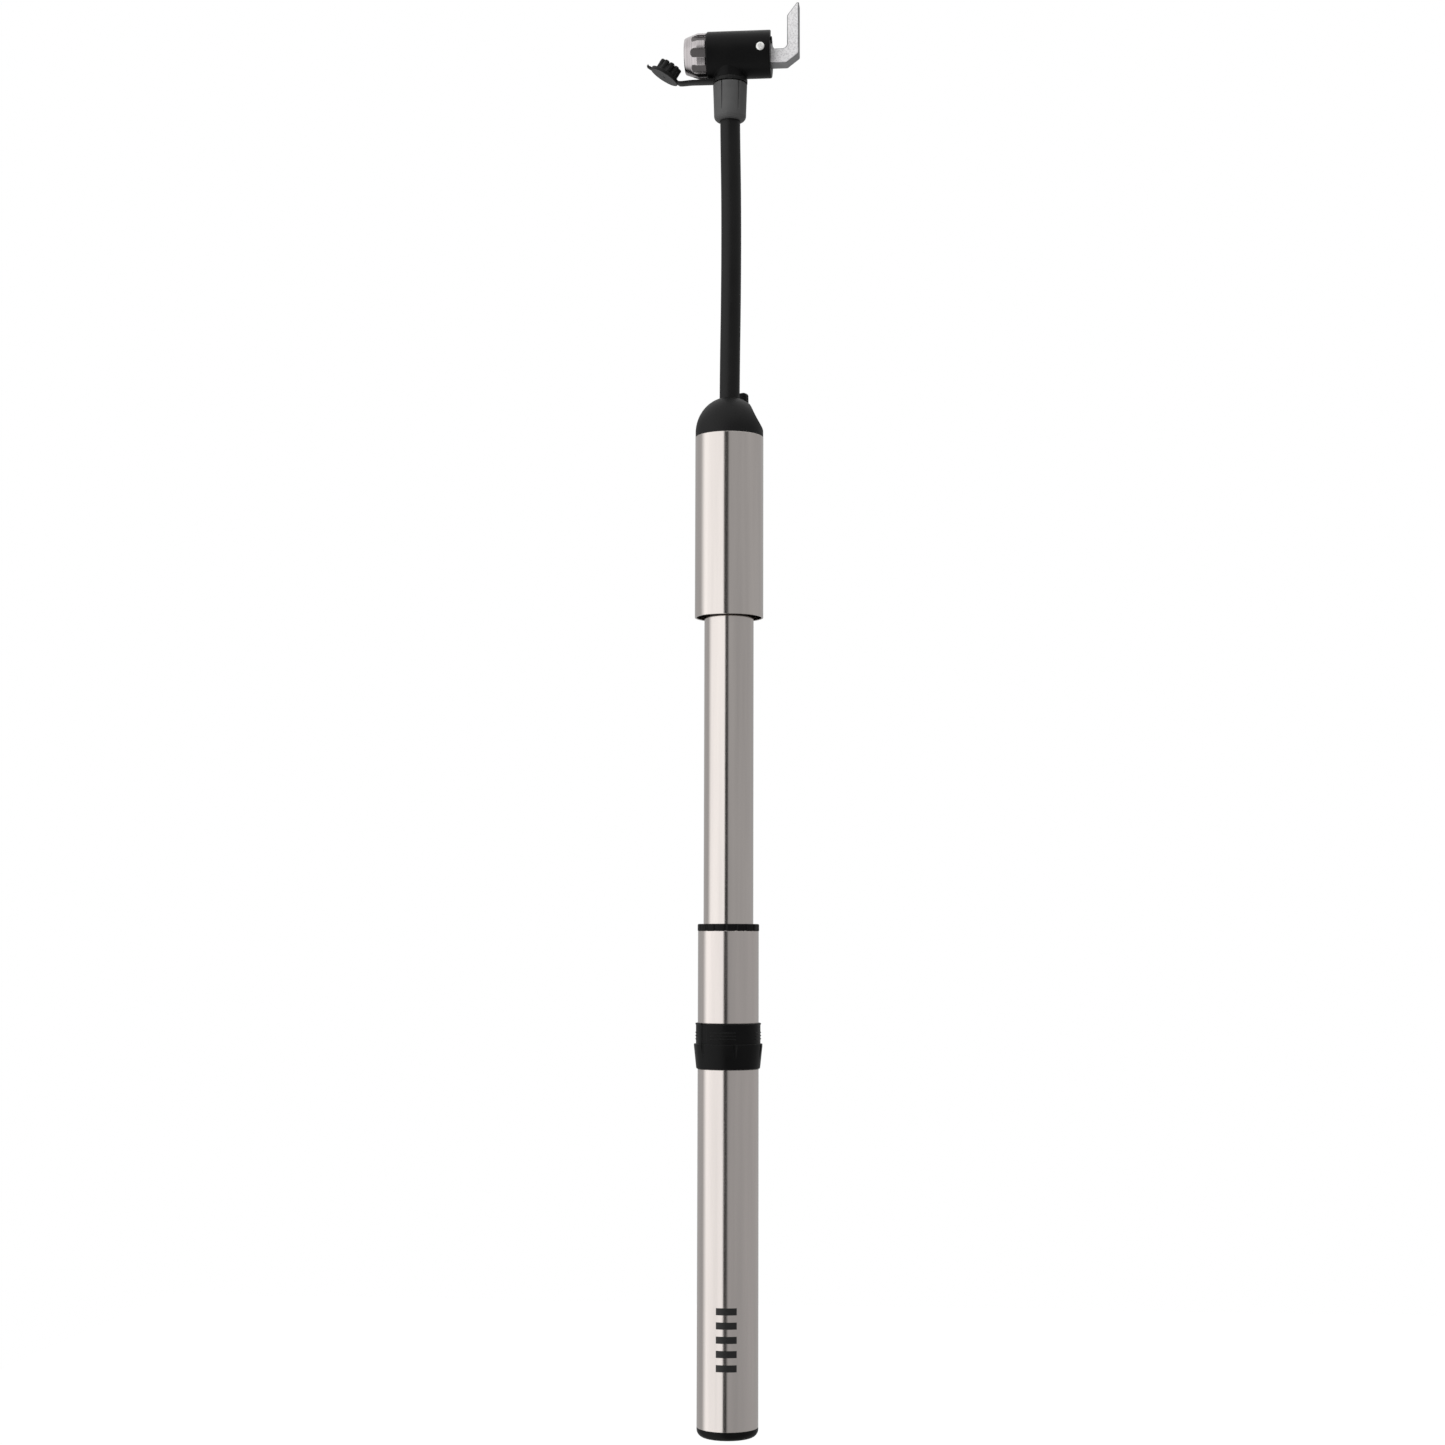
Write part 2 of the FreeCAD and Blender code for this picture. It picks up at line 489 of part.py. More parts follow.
softened = {(BLADE_RIGHT, -1.3): 1.2, (24.3, BAR_BOTTOM): 1.2, (BLADE_LEFT, 15.5): 1.5}
for (x, z), radius in softened.items():
    upright = [edge for edge in lever.Edges if edge.BoundBox.YLength > 6
               and abs(edge.Vertexes[0].X - x) < 1e-4 and abs(edge.Vertexes[0].Z - HEAD_Z - z) < 1e-4]
    lever = lever.makeFillet(radius, upright)
rims = [edge for edge in lever.Edges if edge.BoundBox.YLength < 0.01 and edge.BoundBox.XMin > 18.5]
lever = lever.makeChamfer(0.35, rims)
parts["lever"] = lever.cut(Part.makeCylinder(PIN_R + 0.05, 30.0, Vector(PIN_X, -15.0, HEAD_Z), Y_AXIS))

# strap: ring round the neck and a level tongue out to the living hinge
tongue = slab([
    (-6.5, STRAP_LOW), (CAP_HINGE.x, STRAP_LOW), (CAP_HINGE.x, STRAP_HIGH), (-6.5, STRAP_HIGH)], STRAP_HALF)
knuckle_room = Part.makeCylinder(KNUCKLE_ROOM_R, 8.0, Vector(CAP_HINGE.x, -4.0, CAP_HINGE.z), Y_AXIS)
strap = ring(NECK_STEP_R, 7.4, NECK_BOTTOM, NECK_STEP).fuse(tongue.cut(knuckle_room))
strap = strap.cut(Part.makeCylinder(NECK_STEP_R, 6.0, Vector(0, 0, NECK_BOTTOM - 1)))
parts["cap_strap"] = strap.removeSplitter()

# dust cap, built closed on the nozzle and then swung open about its hinge
cap = turned_x([
    (CAP_FACE, CAP_DISC_R), (CAP_FACE, CAP_R - 0.3), (CAP_FACE + 0.3, CAP_R), (CAP_BACK - 0.2, CAP_R),
    (CAP_BACK, CAP_R - 0.2), (CAP_BACK, CAP_PLUG_R), (CAP_PLUG_END - 0.4, CAP_PLUG_TIP_R),
    (CAP_PLUG_END, CAP_PLUG_TIP_R - 0.4), (CAP_PLUG_END, 0), (CAP_FACE + CAP_DISC_DEPTH, 0),
    (CAP_FACE + CAP_DISC_DEPTH, CAP_DISC_R)])
arm = slab([
    (CAP_HINGE.x, CAP_HINGE.z - BEAD_R), (CAP_HINGE.x - 3.0, CAP_HINGE.z + 0.1),
    (CAP_FACE, CAP_HINGE.z + 1.1), (CAP_FACE, HEAD_Z - CAP_DISC_R - 0.2),
    (CAP_BACK - 0.25, HEAD_Z - CAP_DISC_R - 0.2),
    (CAP_BACK - 0.25, CAP_HINGE.z + 1.9), (CAP_HINGE.x - 2.0, CAP_HINGE.z + 1.3),
    (CAP_HINGE.x, CAP_HINGE.z + BEAD_R)], STRAP_HALF)
bead = Part.makeCylinder(BEAD_R, 2 * STRAP_HALF, Vector(CAP_HINGE.x, -STRAP_HALF, CAP_HINGE.z), Y_AXIS)
pull_tab = Part.makeBox(CAP_BACK - CAP_FACE - 0.4, 2 * CAP_TAB_HALF, CAP_TAB_REACH - CAP_DISC_R - 0.2,
                        Vector(CAP_FACE, -CAP_TAB_HALF, HEAD_Z + CAP_DISC_R + 0.2))
cap = cap.fuse([arm, bead, pull_tab]).removeSplitter()
cap.rotate(CAP_HINGE, Y_AXIS, -CAP_OPEN_ANGLE)
parts["dust_cap"] = cap
disc = turned_x([
    (CAP_FACE, 0.9), (CAP_FACE, CAP_DISC_R), (CAP_FACE + CAP_DISC_DEPTH, CAP_DISC_R),
    (CAP_FACE + CAP_DISC_DEPTH, 0), (CAP_FACE + 0.4, 0)])
disc.rotate(CAP_HINGE, Y_AXIS, -CAP_OPEN_ANGLE)
parts["cap_disc"] = disc

os.makedirs("parts", exist_ok=True)
for name, shape in parts.items():
    solids = shape.Solids
    print(name, len(solids), shape.isValid(), round(shape.Volume, 1))
    shape.exportStep("parts/" + name + ".step")
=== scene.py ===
import bmesh
import bpy
import json
import math
from mathutils import Matrix, Vector


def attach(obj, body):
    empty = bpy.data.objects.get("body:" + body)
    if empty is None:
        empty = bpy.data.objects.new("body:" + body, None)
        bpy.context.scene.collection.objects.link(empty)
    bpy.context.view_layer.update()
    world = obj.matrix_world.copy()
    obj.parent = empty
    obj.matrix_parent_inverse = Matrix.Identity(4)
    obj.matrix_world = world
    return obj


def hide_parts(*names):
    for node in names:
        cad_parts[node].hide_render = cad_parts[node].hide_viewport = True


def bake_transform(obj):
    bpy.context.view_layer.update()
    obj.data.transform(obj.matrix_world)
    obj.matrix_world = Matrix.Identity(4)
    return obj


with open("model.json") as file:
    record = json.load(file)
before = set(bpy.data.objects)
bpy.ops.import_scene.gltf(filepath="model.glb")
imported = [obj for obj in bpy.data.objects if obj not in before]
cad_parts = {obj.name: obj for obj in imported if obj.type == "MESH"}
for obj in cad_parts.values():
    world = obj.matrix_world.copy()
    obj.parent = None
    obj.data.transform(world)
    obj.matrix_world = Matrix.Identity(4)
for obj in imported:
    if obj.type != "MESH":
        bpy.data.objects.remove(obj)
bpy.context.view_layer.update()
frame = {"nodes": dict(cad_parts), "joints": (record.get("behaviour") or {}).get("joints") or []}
nodes = frame["nodes"]
print("frame loaded")


def deselectAll():
    if bpy.context.object and bpy.context.object.mode != "OBJECT":
        bpy.ops.object.mode_set(mode="OBJECT")
    bpy.ops.object.select_all(action="DESELECT")


# eye level with the top of the barrel, a little to the right of the head's front
cameraView = {"turn": 5.5, "distance": 0.992, "height": 0.1997, "pitch": 5.18, "aside": -0.14, "roll": -0.13,
              "lens": 59.79}


def addCamera(values):
    turn = math.radians(values["turn"])
    place = (values["distance"] * math.sin(turn), -values["distance"] * math.cos(turn), values["height"])
    bpy.ops.object.camera_add(location=place)
    camera = bpy.context.object
    camera.name = "frontCamera"
    camera.rotation_mode = "XYZ"
    camera.rotation_euler = (math.radians(90 + values["pitch"]), math.radians(values["roll"]),
                             turn - math.radians(values["aside"]))
    camera.data.lens = values["lens"]
    camera.data.sensor_width = 36.0
    camera.data.clip_end = 20.0
    bpy.context.scene.camera = camera
    return camera


addCamera(cameraView)

# the hose leaves the dome cap straight up and goes into the ferrule, with a hair of a bow
hoseShape = {"diameter": 0.0085, "length": 0.156,
             "route": [(0, 0, 0.401), (0, 0, 0.43), (0.0006, 0.0001, 0.474), (0.0006, 0.0001, 0.512),
                       (0, 0, 0.544), (0, 0, 0.557)]}


def addHose(values):
    curve = bpy.data.curves.new("hoseRubber", "CURVE")
    curve.dimensions = "3D"
    spline = curve.splines.new("NURBS")
    spline.points.add(len(values["route"]) - 1)
    for point, place in zip(spline.points, values["route"]):
        point.co = (*place, 1)
        point.radius = values["diameter"] / 2  # keeps the curve's own box as thin as the hose
    spline.order_u = 3
    spline.use_endpoint_u = True
    curve.resolution_u = 16
    curve.bevel_depth = 1.0
    curve.bevel_resolution = 10
    hose = bpy.data.objects.new("hoseRubber", curve)
    bpy.context.scene.collection.objects.link(hose)
    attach(hose, "hose")
    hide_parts("hose")
    return hose


hose = addHose(hoseShape)
print("camera and hose done")


# shader groups shared by the materials
def newGroup(name, inputs, outputs):
    group = bpy.data.node_groups.new(name, "ShaderNodeTree")
    for label, value in inputs.items():
        socket = group.interface.new_socket(label, in_out="INPUT", socket_type="NodeSocketFloat")
        socket.default_value = value
    for label in outputs:
        group.interface.new_socket(label, in_out="OUTPUT", socket_type="NodeSocketFloat")
    return group


def addNode(tree, kind, **values):
    node = tree.nodes.new(kind)
    for label, value in values.items():
        setattr(node, label, value)
    return node


def mathNode(tree, operation, first, second):
    node = addNode(tree, "ShaderNodeMath", operation=operation)
    for socket, value in zip(node.inputs, (first, second)):
        if isinstance(value, (int, float)):
            socket.default_value = value
        else:
            tree.links.new(value, socket)
    return node.outputs[0]


def noiseNode(tree, vector, scale, detail, stretch=(1, 1, 1)):
    mapping = addNode(tree, "ShaderNodeMapping")
    mapping.inputs["Scale"].default_value = stretch
    tree.links.new(vector, mapping.inputs["Vector"])
    noise = addNode(tree, "ShaderNodeTexNoise")
    noise.inputs["Detail"].default_value = detail
    if isinstance(scale, (int, float)):
        noise.inputs["Scale"].default_value = scale
    else:
        tree.links.new(scale, noise.inputs["Scale"])
    tree.links.new(mapping.outputs[0], noise.inputs["Vector"])
    return noise.outputs["Fac"]


def drawnGrainGroup():
    # fine lines along Z, as a drawn and brushed tube has them
    group = newGroup("drawnGrain", {"Density": 2600.0, "Streaks": 160.0}, ["Lines", "Streaks"])
    start = group.nodes.new("NodeGroupInput")
    end = group.nodes.new("NodeGroupOutput")
    place = addNode(group, "ShaderNodeTexCoord").outputs["Object"]
    fine = noiseNode(group, place, start.outputs["Density"], 3.0, (1, 1, 0.012))
    broad = noiseNode(group, place, start.outputs["Streaks"], 4.0, (1, 1, 0.03))
    group.links.new(fine, end.inputs["Lines"])
    group.links.new(broad, end.inputs["Streaks"])
    return group


def mouldGrainGroup():
    # spark-eroded mould texture and slow shade changes
    group = newGroup("mouldGrain", {"Grain": 3500.0, "Cloud": 90.0}, ["Grain", "Cloud"])
    start = group.nodes.new("NodeGroupInput")
    end = group.nodes.new("NodeGroupOutput")
    place = addNode(group, "ShaderNodeTexCoord").outputs["Object"]
    fine = noiseNode(group, place, start.outputs["Grain"], 4.0)
    cloud = noiseNode(group, place, start.outputs["Cloud"], 3.0)
    group.links.new(fine, end.inputs["Grain"])
    group.links.new(cloud, end.inputs["Cloud"])
    return group


def edgeWearGroup():
    # how far a rounded normal leans from the true one: zero on a face, rising at an edge
    group = newGroup("edgeWear", {"Start": 0.004, "Full": 0.09}, ["Wear"])
    group.interface.new_socket("Rounded", in_out="OUTPUT", socket_type="NodeSocketVector")
    start = group.nodes.new("NodeGroupInput")
    end = group.nodes.new("NodeGroupOutput")
    bevel = addNode(group, "ShaderNodeBevel", samples=4)
    bevel.inputs["Radius"].default_value = 0.0003
    flat = addNode(group, "ShaderNodeNewGeometry")
    lean = addNode(group, "ShaderNodeVectorMath", operation="DOT_PRODUCT")
    group.links.new(bevel.outputs[0], lean.inputs[0])
    group.links.new(flat.outputs["Normal"], lean.inputs[1])
    away = mathNode(group, "SUBTRACT", 1.0, lean.outputs["Value"])
    place = addNode(group, "ShaderNodeTexCoord").outputs["Object"]
    patchy = mathNode(group, "MULTIPLY", away, mathNode(group, "MULTIPLY", noiseNode(group, place, 700.0, 3.0), 2.0))
    spread = addNode(group, "ShaderNodeMapRange")
    group.links.new(patchy, spread.inputs["Value"])
    group.links.new(start.outputs["Start"], spread.inputs["From Min"])
    group.links.new(start.outputs["Full"], spread.inputs["From Max"])
    group.links.new(spread.outputs[0], end.inputs["Wear"])
    group.links.new(bevel.outputs[0], end.inputs["Rounded"])
    return group


def turnedRingsGroup():
    # fine tool marks round the head's axis, for a nut turned on a lathe
    group = newGroup("turnedRings", {"Height": 0.5748, "Density": 2400.0}, ["Rings", "Cloud"])
    start = group.nodes.new("NodeGroupInput")
    end = group.nodes.new("NodeGroupOutput")
    place = addNode(group, "ShaderNodeTexCoord").outputs["Object"]
    parts = addNode(group, "ShaderNodeSeparateXYZ")
    group.links.new(place, parts.inputs[0])
    rise = mathNode(group, "SUBTRACT", parts.outputs["Z"], start.outputs["Height"])
    square = mathNode(group, "ADD", mathNode(group, "POWER", parts.outputs["Y"], 2.0),
                      mathNode(group, "POWER", rise, 2.0))
    reach = mathNode(group, "SQRT", square, 0.0)
    along = addNode(group, "ShaderNodeCombineXYZ")
    group.links.new(parts.outputs["X"], along.inputs["X"])
    group.links.new(reach, along.inputs["Y"])
    group.links.new(noiseNode(group, along.outputs[0], start.outputs["Density"], 4.0), end.inputs["Rings"])
    group.links.new(noiseNode(group, place, 220.0, 3.0), end.inputs["Cloud"])
    return group


def fluteMaskGroup(values):
    # the nut's flutes are the faces below its turned outline: a cone in front and a cylinder behind
    group = newGroup("fluteMask", values, ["Flute"])
    start = group.nodes.new("NodeGroupInput").outputs
    end = group.nodes.new("NodeGroupOutput")
    parts = addNode(group, "ShaderNodeSeparateXYZ")
    group.links.new(addNode(group, "ShaderNodeTexCoord").outputs["Object"], parts.inputs[0])
    rise = mathNode(group, "SUBTRACT", parts.outputs["Z"], start["Height"])
    square = mathNode(group, "ADD", mathNode(group, "POWER", parts.outputs["Y"], 2.0),
                      mathNode(group, "POWER", rise, 2.0))
    reach = mathNode(group, "SQRT", square, 0.0)
    slope = mathNode(group, "MULTIPLY", mathNode(group, "SUBTRACT", parts.outputs["X"], start["Front"]), start["Slope"])
    outlineAt = mathNode(group, "MINIMUM", mathNode(group, "ADD", slope, start["FrontRadius"]), start["BackRadius"])
    lowered = mathNode(group, "SUBTRACT", outlineAt, 0.00012)  # keeps the mask off the outline itself
    below = mathNode(group, "LESS_THAN", reach, lowered)
    floor = mathNode(group, "GREATER_THAN", reach, start["Floor"])
    group.links.new(mathNode(group, "MULTIPLY", below, floor), end.inputs["Flute"])
    return group


def speckleGroup():
    # shot-blasted skin of a casting: bright and dull grains side by side
    group = newGroup("castSpeckle", {"Grain": 1500.0, "Cloud": 160.0}, ["Speckle", "Cloud"])
    start = group.nodes.new("NodeGroupInput")
    end = group.nodes.new("NodeGroupOutput")
    place = addNode(group, "ShaderNodeTexCoord").outputs["Object"]
    cells = addNode(group, "ShaderNodeTexVoronoi")
    group.links.new(place, cells.inputs["Vector"])
    group.links.new(start.outputs["Grain"], cells.inputs["Scale"])
    fine = noiseNode(group, place, start.outputs["Grain"], 2.0)
    mixed = mathNode(group, "MULTIPLY_ADD", cells.outputs["Distance"], 0.5)
    group.links.new(mathNode(group, "MULTIPLY", fine, 0.6), mixed.node.inputs[2])
    group.links.new(mixed, end.inputs["Speckle"])
    group.links.new(noiseNode(group, place, start.outputs["Cloud"], 3.0), end.inputs["Cloud"])
    return group


# five short plain bars printed on the barrel's front, a generic decoration
markValues = {"Low": 0.026, "High": 0.0539, "Half": 0.0042, "Aside": 0.0006, "Pitch": 0.0056, "Fill": 0.5}


def barMarkGroup(values):
    group = newGroup("barMark", values, ["Ink"])
    start = group.nodes.new("NodeGroupInput")
    end = group.nodes.new("NodeGroupOutput")
    parts = addNode(group, "ShaderNodeSeparateXYZ")
    group.links.new(addNode(group, "ShaderNodeTexCoord").outputs["Object"], parts.inputs[0])
    get = start.outputs
    across = mathNode(group, "SUBTRACT", parts.outputs["X"], get["Aside"])
    width = mathNode(group, "ABSOLUTE", across, 0.0)
    turns = mathNode(group, "DIVIDE", mathNode(group, "SUBTRACT", parts.outputs["Z"], get["Low"]), get["Pitch"])
    phase = mathNode(group, "ABSOLUTE", mathNode(group, "SUBTRACT", mathNode(group, "FRACT", turns, 0.0), 0.5), 0.0)
    bar = mathNode(group, "LESS_THAN", phase, mathNode(group, "MULTIPLY", get["Fill"], 0.5))
    bar = mathNode(group, "MULTIPLY", bar, mathNode(group, "LESS_THAN", width, get["Half"]))
    bar = mathNode(group, "MULTIPLY", bar, mathNode(group, "GREATER_THAN", parts.outputs["Z"], get["Low"]))
    bar = mathNode(group, "MULTIPLY", bar, mathNode(group, "LESS_THAN", parts.outputs["Z"], get["High"]))
    bar = mathNode(group, "MULTIPLY", bar, mathNode(group, "LESS_THAN", parts.outputs["Y"], 0.0))
    group.links.new(bar, end.inputs["Ink"])
    return group


drawnGrain = drawnGrainGroup()
mouldGrain = mouldGrainGroup()
edgeWear = edgeWearGroup()
turnedRings = turnedRingsGroup()
fluteMask = fluteMaskGroup({"Height": 0.5748, "Front": -0.0188, "FrontRadius": 0.00765, "BackRadius": 0.00955,
                            "Slope": 0.3585, "Floor": 0.0083})
castSpeckle = speckleGroup()
barMark = barMarkGroup(markValues)


def placeGroup(tree, group, **values):
    node = addNode(tree, "ShaderNodeGroup", node_tree=group)
    for label, value in values.items():
        node.inputs[label].default_value = value
    return node


def rampNode(tree, value, stops):
    ramp = addNode(tree, "ShaderNodeValToRGB")
    while len(ramp.color_ramp.elements) < len(stops):
        ramp.color_ramp.elements.new(0.5)
    for element, (position, colour) in zip(ramp.color_ramp.elements, stops):
        element.position = position
        element.color = (*colour, 1)
    tree.links.new(value, ramp.inputs[0])
    return ramp.outputs["Color"]


def rangeNode(tree, value, low, high):
    node = addNode(tree, "ShaderNodeMapRange")
    node.inputs["From Min"].default_value = 0.3
    node.inputs["From Max"].default_value = 0.7
    node.inputs["To Min"].default_value = low
    node.inputs["To Max"].default_value = high
    tree.links.new(value, node.inputs["Value"])
    return node.outputs[0]


def newMaterial(name):
    material = bpy.data.materials.new(name)
    material.use_nodes = True
    tree = material.node_tree
    shader = tree.nodes["Principled BSDF"]
    return material, tree, shader


def bumpInto(tree, shader, height, strength, distance, rounded=None):
    bump = addNode(tree, "ShaderNodeBump")
    bump.inputs["Strength"].default_value = strength
    bump.inputs["Distance"].default_value = distance
    tree.links.new(height, bump.inputs["Height"])
    if rounded:
        tree.links.new(rounded, bump.inputs["Normal"])
    tree.links.new(bump.outputs[0], shader.inputs["Normal"])


def mixColour(tree, factor, first, second):
    mix = addNode(tree, "ShaderNodeMix", data_type="RGBA")
    tree.links.new(factor, mix.inputs[0])
    for socket, value in ((mix.inputs[6], first), (mix.inputs[7], second)):
        if isinstance(value, tuple):
            socket.default_value = (*value, 1)
        else:
            tree.links.new(value, socket)
    return mix.outputs[2]


def mixValue(tree, factor, first, second):
    mix = addNode(tree, "ShaderNodeMix", data_type="FLOAT")
    tree.links.new(factor, mix.inputs[0])
    for socket, value in ((mix.inputs[2], first), (mix.inputs[3], second)):
        if isinstance(value, (int, float)):
            socket.default_value = value
        else:
            tree.links.new(value, socket)
    return mix.outputs[0]


def drawnAluminium(name, values, mark=None):
    material, tree, shader = newMaterial(name)
    grain = placeGroup(tree, drawnGrain)
    wearAndShade = placeGroup(tree, edgeWear)
    colour = rampNode(tree, grain.outputs["Streaks"], [(0.3, values["dark"]), (0.7, values["light"])])
    rough = rangeNode(tree, grain.outputs["Lines"], values["rough"] - 0.03, values["rough"] + 0.03)
    rough = mixValue(tree, wearAndShade.outputs["Wear"], rough, values["rough"] + 0.12)
    shader.inputs["Metallic"].default_value = 1.0
    if mark:
        ink = placeGroup(tree, mark).outputs["Ink"]
        colour = mixColour(tree, ink, colour, values["ink"])
        rough = mixValue(tree, ink, rough, 0.45)
        tree.links.new(mathNode(tree, "SUBTRACT", 1.0, ink), shader.inputs["Metallic"])
    tree.links.new(colour, shader.inputs["Base Color"])
    tree.links.new(rough, shader.inputs["Roughness"])
    bumpInto(tree, shader, grain.outputs["Lines"], 0.05, 0.00004, wearAndShade.outputs["Rounded"])
    return material


def mouldedPlastic(name, values):
    material, tree, shader = newMaterial(name)
    grain = placeGroup(tree, mouldGrain)
    wearAndShade = placeGroup(tree, edgeWear)
    colour = rampNode(tree, grain.outputs["Cloud"], [(0.3, values["dark"]), (0.7, values["light"])])
    tree.links.new(mixColour(tree, wearAndShade.outputs["Wear"], colour, values["rubbedAndShadedEdge"]), shader.inputs["Base Color"])
    rough = rangeNode(tree, grain.outputs["Cloud"], values["rough"] - 0.05, values["rough"] + 0.05)
    tree.links.new(mixValue(tree, wearAndShade.outputs["Wear"], rough, values["rough"] - 0.12), shader.inputs["Roughness"])
    shader.inputs["Specular IOR Level"].default_value = values["shine"]
    bumpInto(tree, shader, grain.outputs["Grain"], 0.3, values["grain"], wearAndShade.outputs["Rounded"])
    return material


def turnedMetal(name, values, flutes=None):
    material, tree, shader = newMaterial(name)
    rings = placeGroup(tree, turnedRings)
    wearAndShade = placeGroup(tree, edgeWear)
    shader.inputs["Metallic"].default_value = 1.0
    colour = rampNode(tree, rings.outputs["Rings"], [(0.3, values["dark"]), (0.7, values["light"])])
    rough = rangeNode(tree, rings.outputs["Cloud"], values["rough"] - 0.05, values["rough"] + 0.05)
    # the flutes get a dark painted shade and a rougher finish
    if flutes:
        flute = placeGroup(tree, flutes).outputs["Flute"]
        colour = mixColour(tree, flute, colour, values["flute"])
        rough = mixValue(tree, flute, rough, values["rough"] + 0.2)
    tree.links.new(mixColour(tree, wearAndShade.outputs["Wear"], colour, values["rubbedAndShadedEdge"]), shader.inputs["Base Color"])
    tree.links.new(rough, shader.inputs["Roughness"])
    bumpInto(tree, shader, rings.outputs["Rings"], 0.25, 0.00004, wearAndShade.outputs["Rounded"])
    return material


def castMetal(name, values):
    material, tree, shader = newMaterial(name)
    skin = placeGroup(tree, castSpeckle)
    wearAndShade = placeGroup(tree, edgeWear)
    shader.inputs["Metallic"].default_value = values["metal"]
    colour = rampNode(tree, skin.outputs["Speckle"], [(0.3, values["dark"]), (0.62, values["light"])])
    if "rim" in values:
        # the narrow faces between the two flat sides get a dark painted shade, for the sides turned away from the light
        parts = addNode(tree, "ShaderNodeSeparateXYZ")
        tree.links.new(addNode(tree, "ShaderNodeTexCoord").outputs["Normal"], parts.inputs[0])
        rim = mathNode(tree, "LESS_THAN", mathNode(tree, "ABSOLUTE", parts.outputs["Y"], 0.0), 0.75)
        colour = mixColour(tree, rim, colour, values["rim"])
    # edge colour: rubbed edges on most finishes, a dark painted shade at the lever's edges, darker edges on the pin
    tree.links.new(mixColour(tree, wearAndShade.outputs["Wear"], colour, values["rubbedAndShadedEdge"]), shader.inputs["Base Color"])
    rough = rangeNode(tree, skin.outputs["Cloud"], values["rough"] - 0.06, values["rough"] + 0.06)
    tree.links.new(rough, shader.inputs["Roughness"])
    bumpInto(tree, shader, skin.outputs["Speckle"], 0.35, 0.00006, wearAndShade.outputs["Rounded"])
    return material


# dull, bright and edge colours of each finish: rubbed edges on most, a painted edge shade on the lever, darker edges on
# the pin; the lever's rim colour and the nut's flute colour are painted shade
blackValues = {"dark": (0.0026, 0.0026, 0.0027), "light": (0.0042, 0.0042, 0.0043), "rubbedAndShadedEdge": (0.014, 0.014, 0.014),
               "rough": 0.40, "shine": 0.12, "grain": 0.00003}
domeValues = {"dark": (0.0045, 0.0045, 0.0046), "light": (0.0075, 0.0075, 0.0077), "rubbedAndShadedEdge": (0.02, 0.02, 0.02),
              "rough": 0.50, "shine": 0.21, "grain": 0.00004}
rubberValues = {"dark": (0.003, 0.003, 0.003), "light": (0.005, 0.005, 0.005), "rubbedAndShadedEdge": (0.014, 0.014, 0.014),
                "rough": 0.45, "shine": 0.26, "grain": 0.00002}
greyValues = {"dark": (0.068, 0.068, 0.068), "light": (0.09, 0.09, 0.09), "rubbedAndShadedEdge": (0.13, 0.13, 0.13),
              "rough": 0.5, "shine": 0.3, "grain": 0.00003}
discValues = {"dark": (0.03, 0.03, 0.031), "light": (0.042, 0.042, 0.043), "rubbedAndShadedEdge": (0.07, 0.07, 0.07),
              "rough": 0.42, "shine": 0.3, "grain": 0.00002}
naturalValues = {"dark": (0.5, 0.49, 0.45), "light": (0.6, 0.59, 0.55), "rubbedAndShadedEdge": (0.66, 0.65, 0.6),
                 "rough": 0.4, "shine": 0.4, "grain": 0.00002}
tubeValues = {"dark": (0.64, 0.595, 0.57), "light": (0.78, 0.725, 0.69), "rough": 0.13, "ink": (0.006, 0.006, 0.006)}
barrelValues = {"dark": (0.64, 0.595, 0.57), "light": (0.76, 0.70, 0.67), "rough": 0.14,
                "ink": (0.006, 0.006, 0.006)}
# the nut's flute colour is a dark painted shade for its recessed flutes
nutValues = {"dark": (0.36, 0.335, 0.34), "light": (0.62, 0.585, 0.59), "rubbedAndShadedEdge": (0.72, 0.69, 0.69), "rough": 0.25,
             "flute": (0.16, 0.15, 0.15)}
steelValues = {"dark": (0.62, 0.61, 0.58), "light": (0.78, 0.77, 0.74), "rubbedAndShadedEdge": (0.85, 0.84, 0.82), "rough": 0.2}
brassValues = {"dark": (0.62, 0.44, 0.18), "light": (0.74, 0.56, 0.27), "rubbedAndShadedEdge": (0.82, 0.66, 0.38), "rough": 0.26}
# the lever's edge colour is a dark painted shade at its edges, and the pin's edges are darker
leverValues = {"dark": (0.62, 0.61, 0.62), "light": (0.93, 0.92, 0.93), "rubbedAndShadedEdge": (0.2, 0.2, 0.2),
               # the rim colour is a painted shade on the lever's narrow faces
               "rim": (0.26, 0.26, 0.265), "rough": 0.42, "metal": 0.3}
pinValues = {"dark": (0.7, 0.7, 0.68), "light": (0.92, 0.92, 0.9), "rubbedAndShadedEdge": (0.3, 0.3, 0.3),
             "rough": 0.3, "metal": 0.45}

looks = {
    "tube": drawnAluminium("tubeAluminium", tubeValues),
    "barrel": drawnAluminium("barrelAluminium", barrelValues, barMark),
    "turned": turnedMetal("turnedAluminium", nutValues, fluteMask),
    "plastic": mouldedPlastic("blackPlastic", blackValues),
    "rubber": mouldedPlastic("blackRubber", rubberValues),
    "ferrule": mouldedPlastic("greyPlastic", greyValues),
    "disc": mouldedPlastic("discPlastic", discValues),
    "lever": castMetal("castLever", leverValues),
    "pin": castMetal("leverPinSteel", pinValues),
    "dome": mouldedPlastic("domePlastic", domeValues),
    "inner": mouldedPlastic("naturalPlastic", naturalValues),
    "steel": turnedMetal("pinSteel", steelValues),
    "brass": turnedMetal("turnedBrass", brassValues),
}

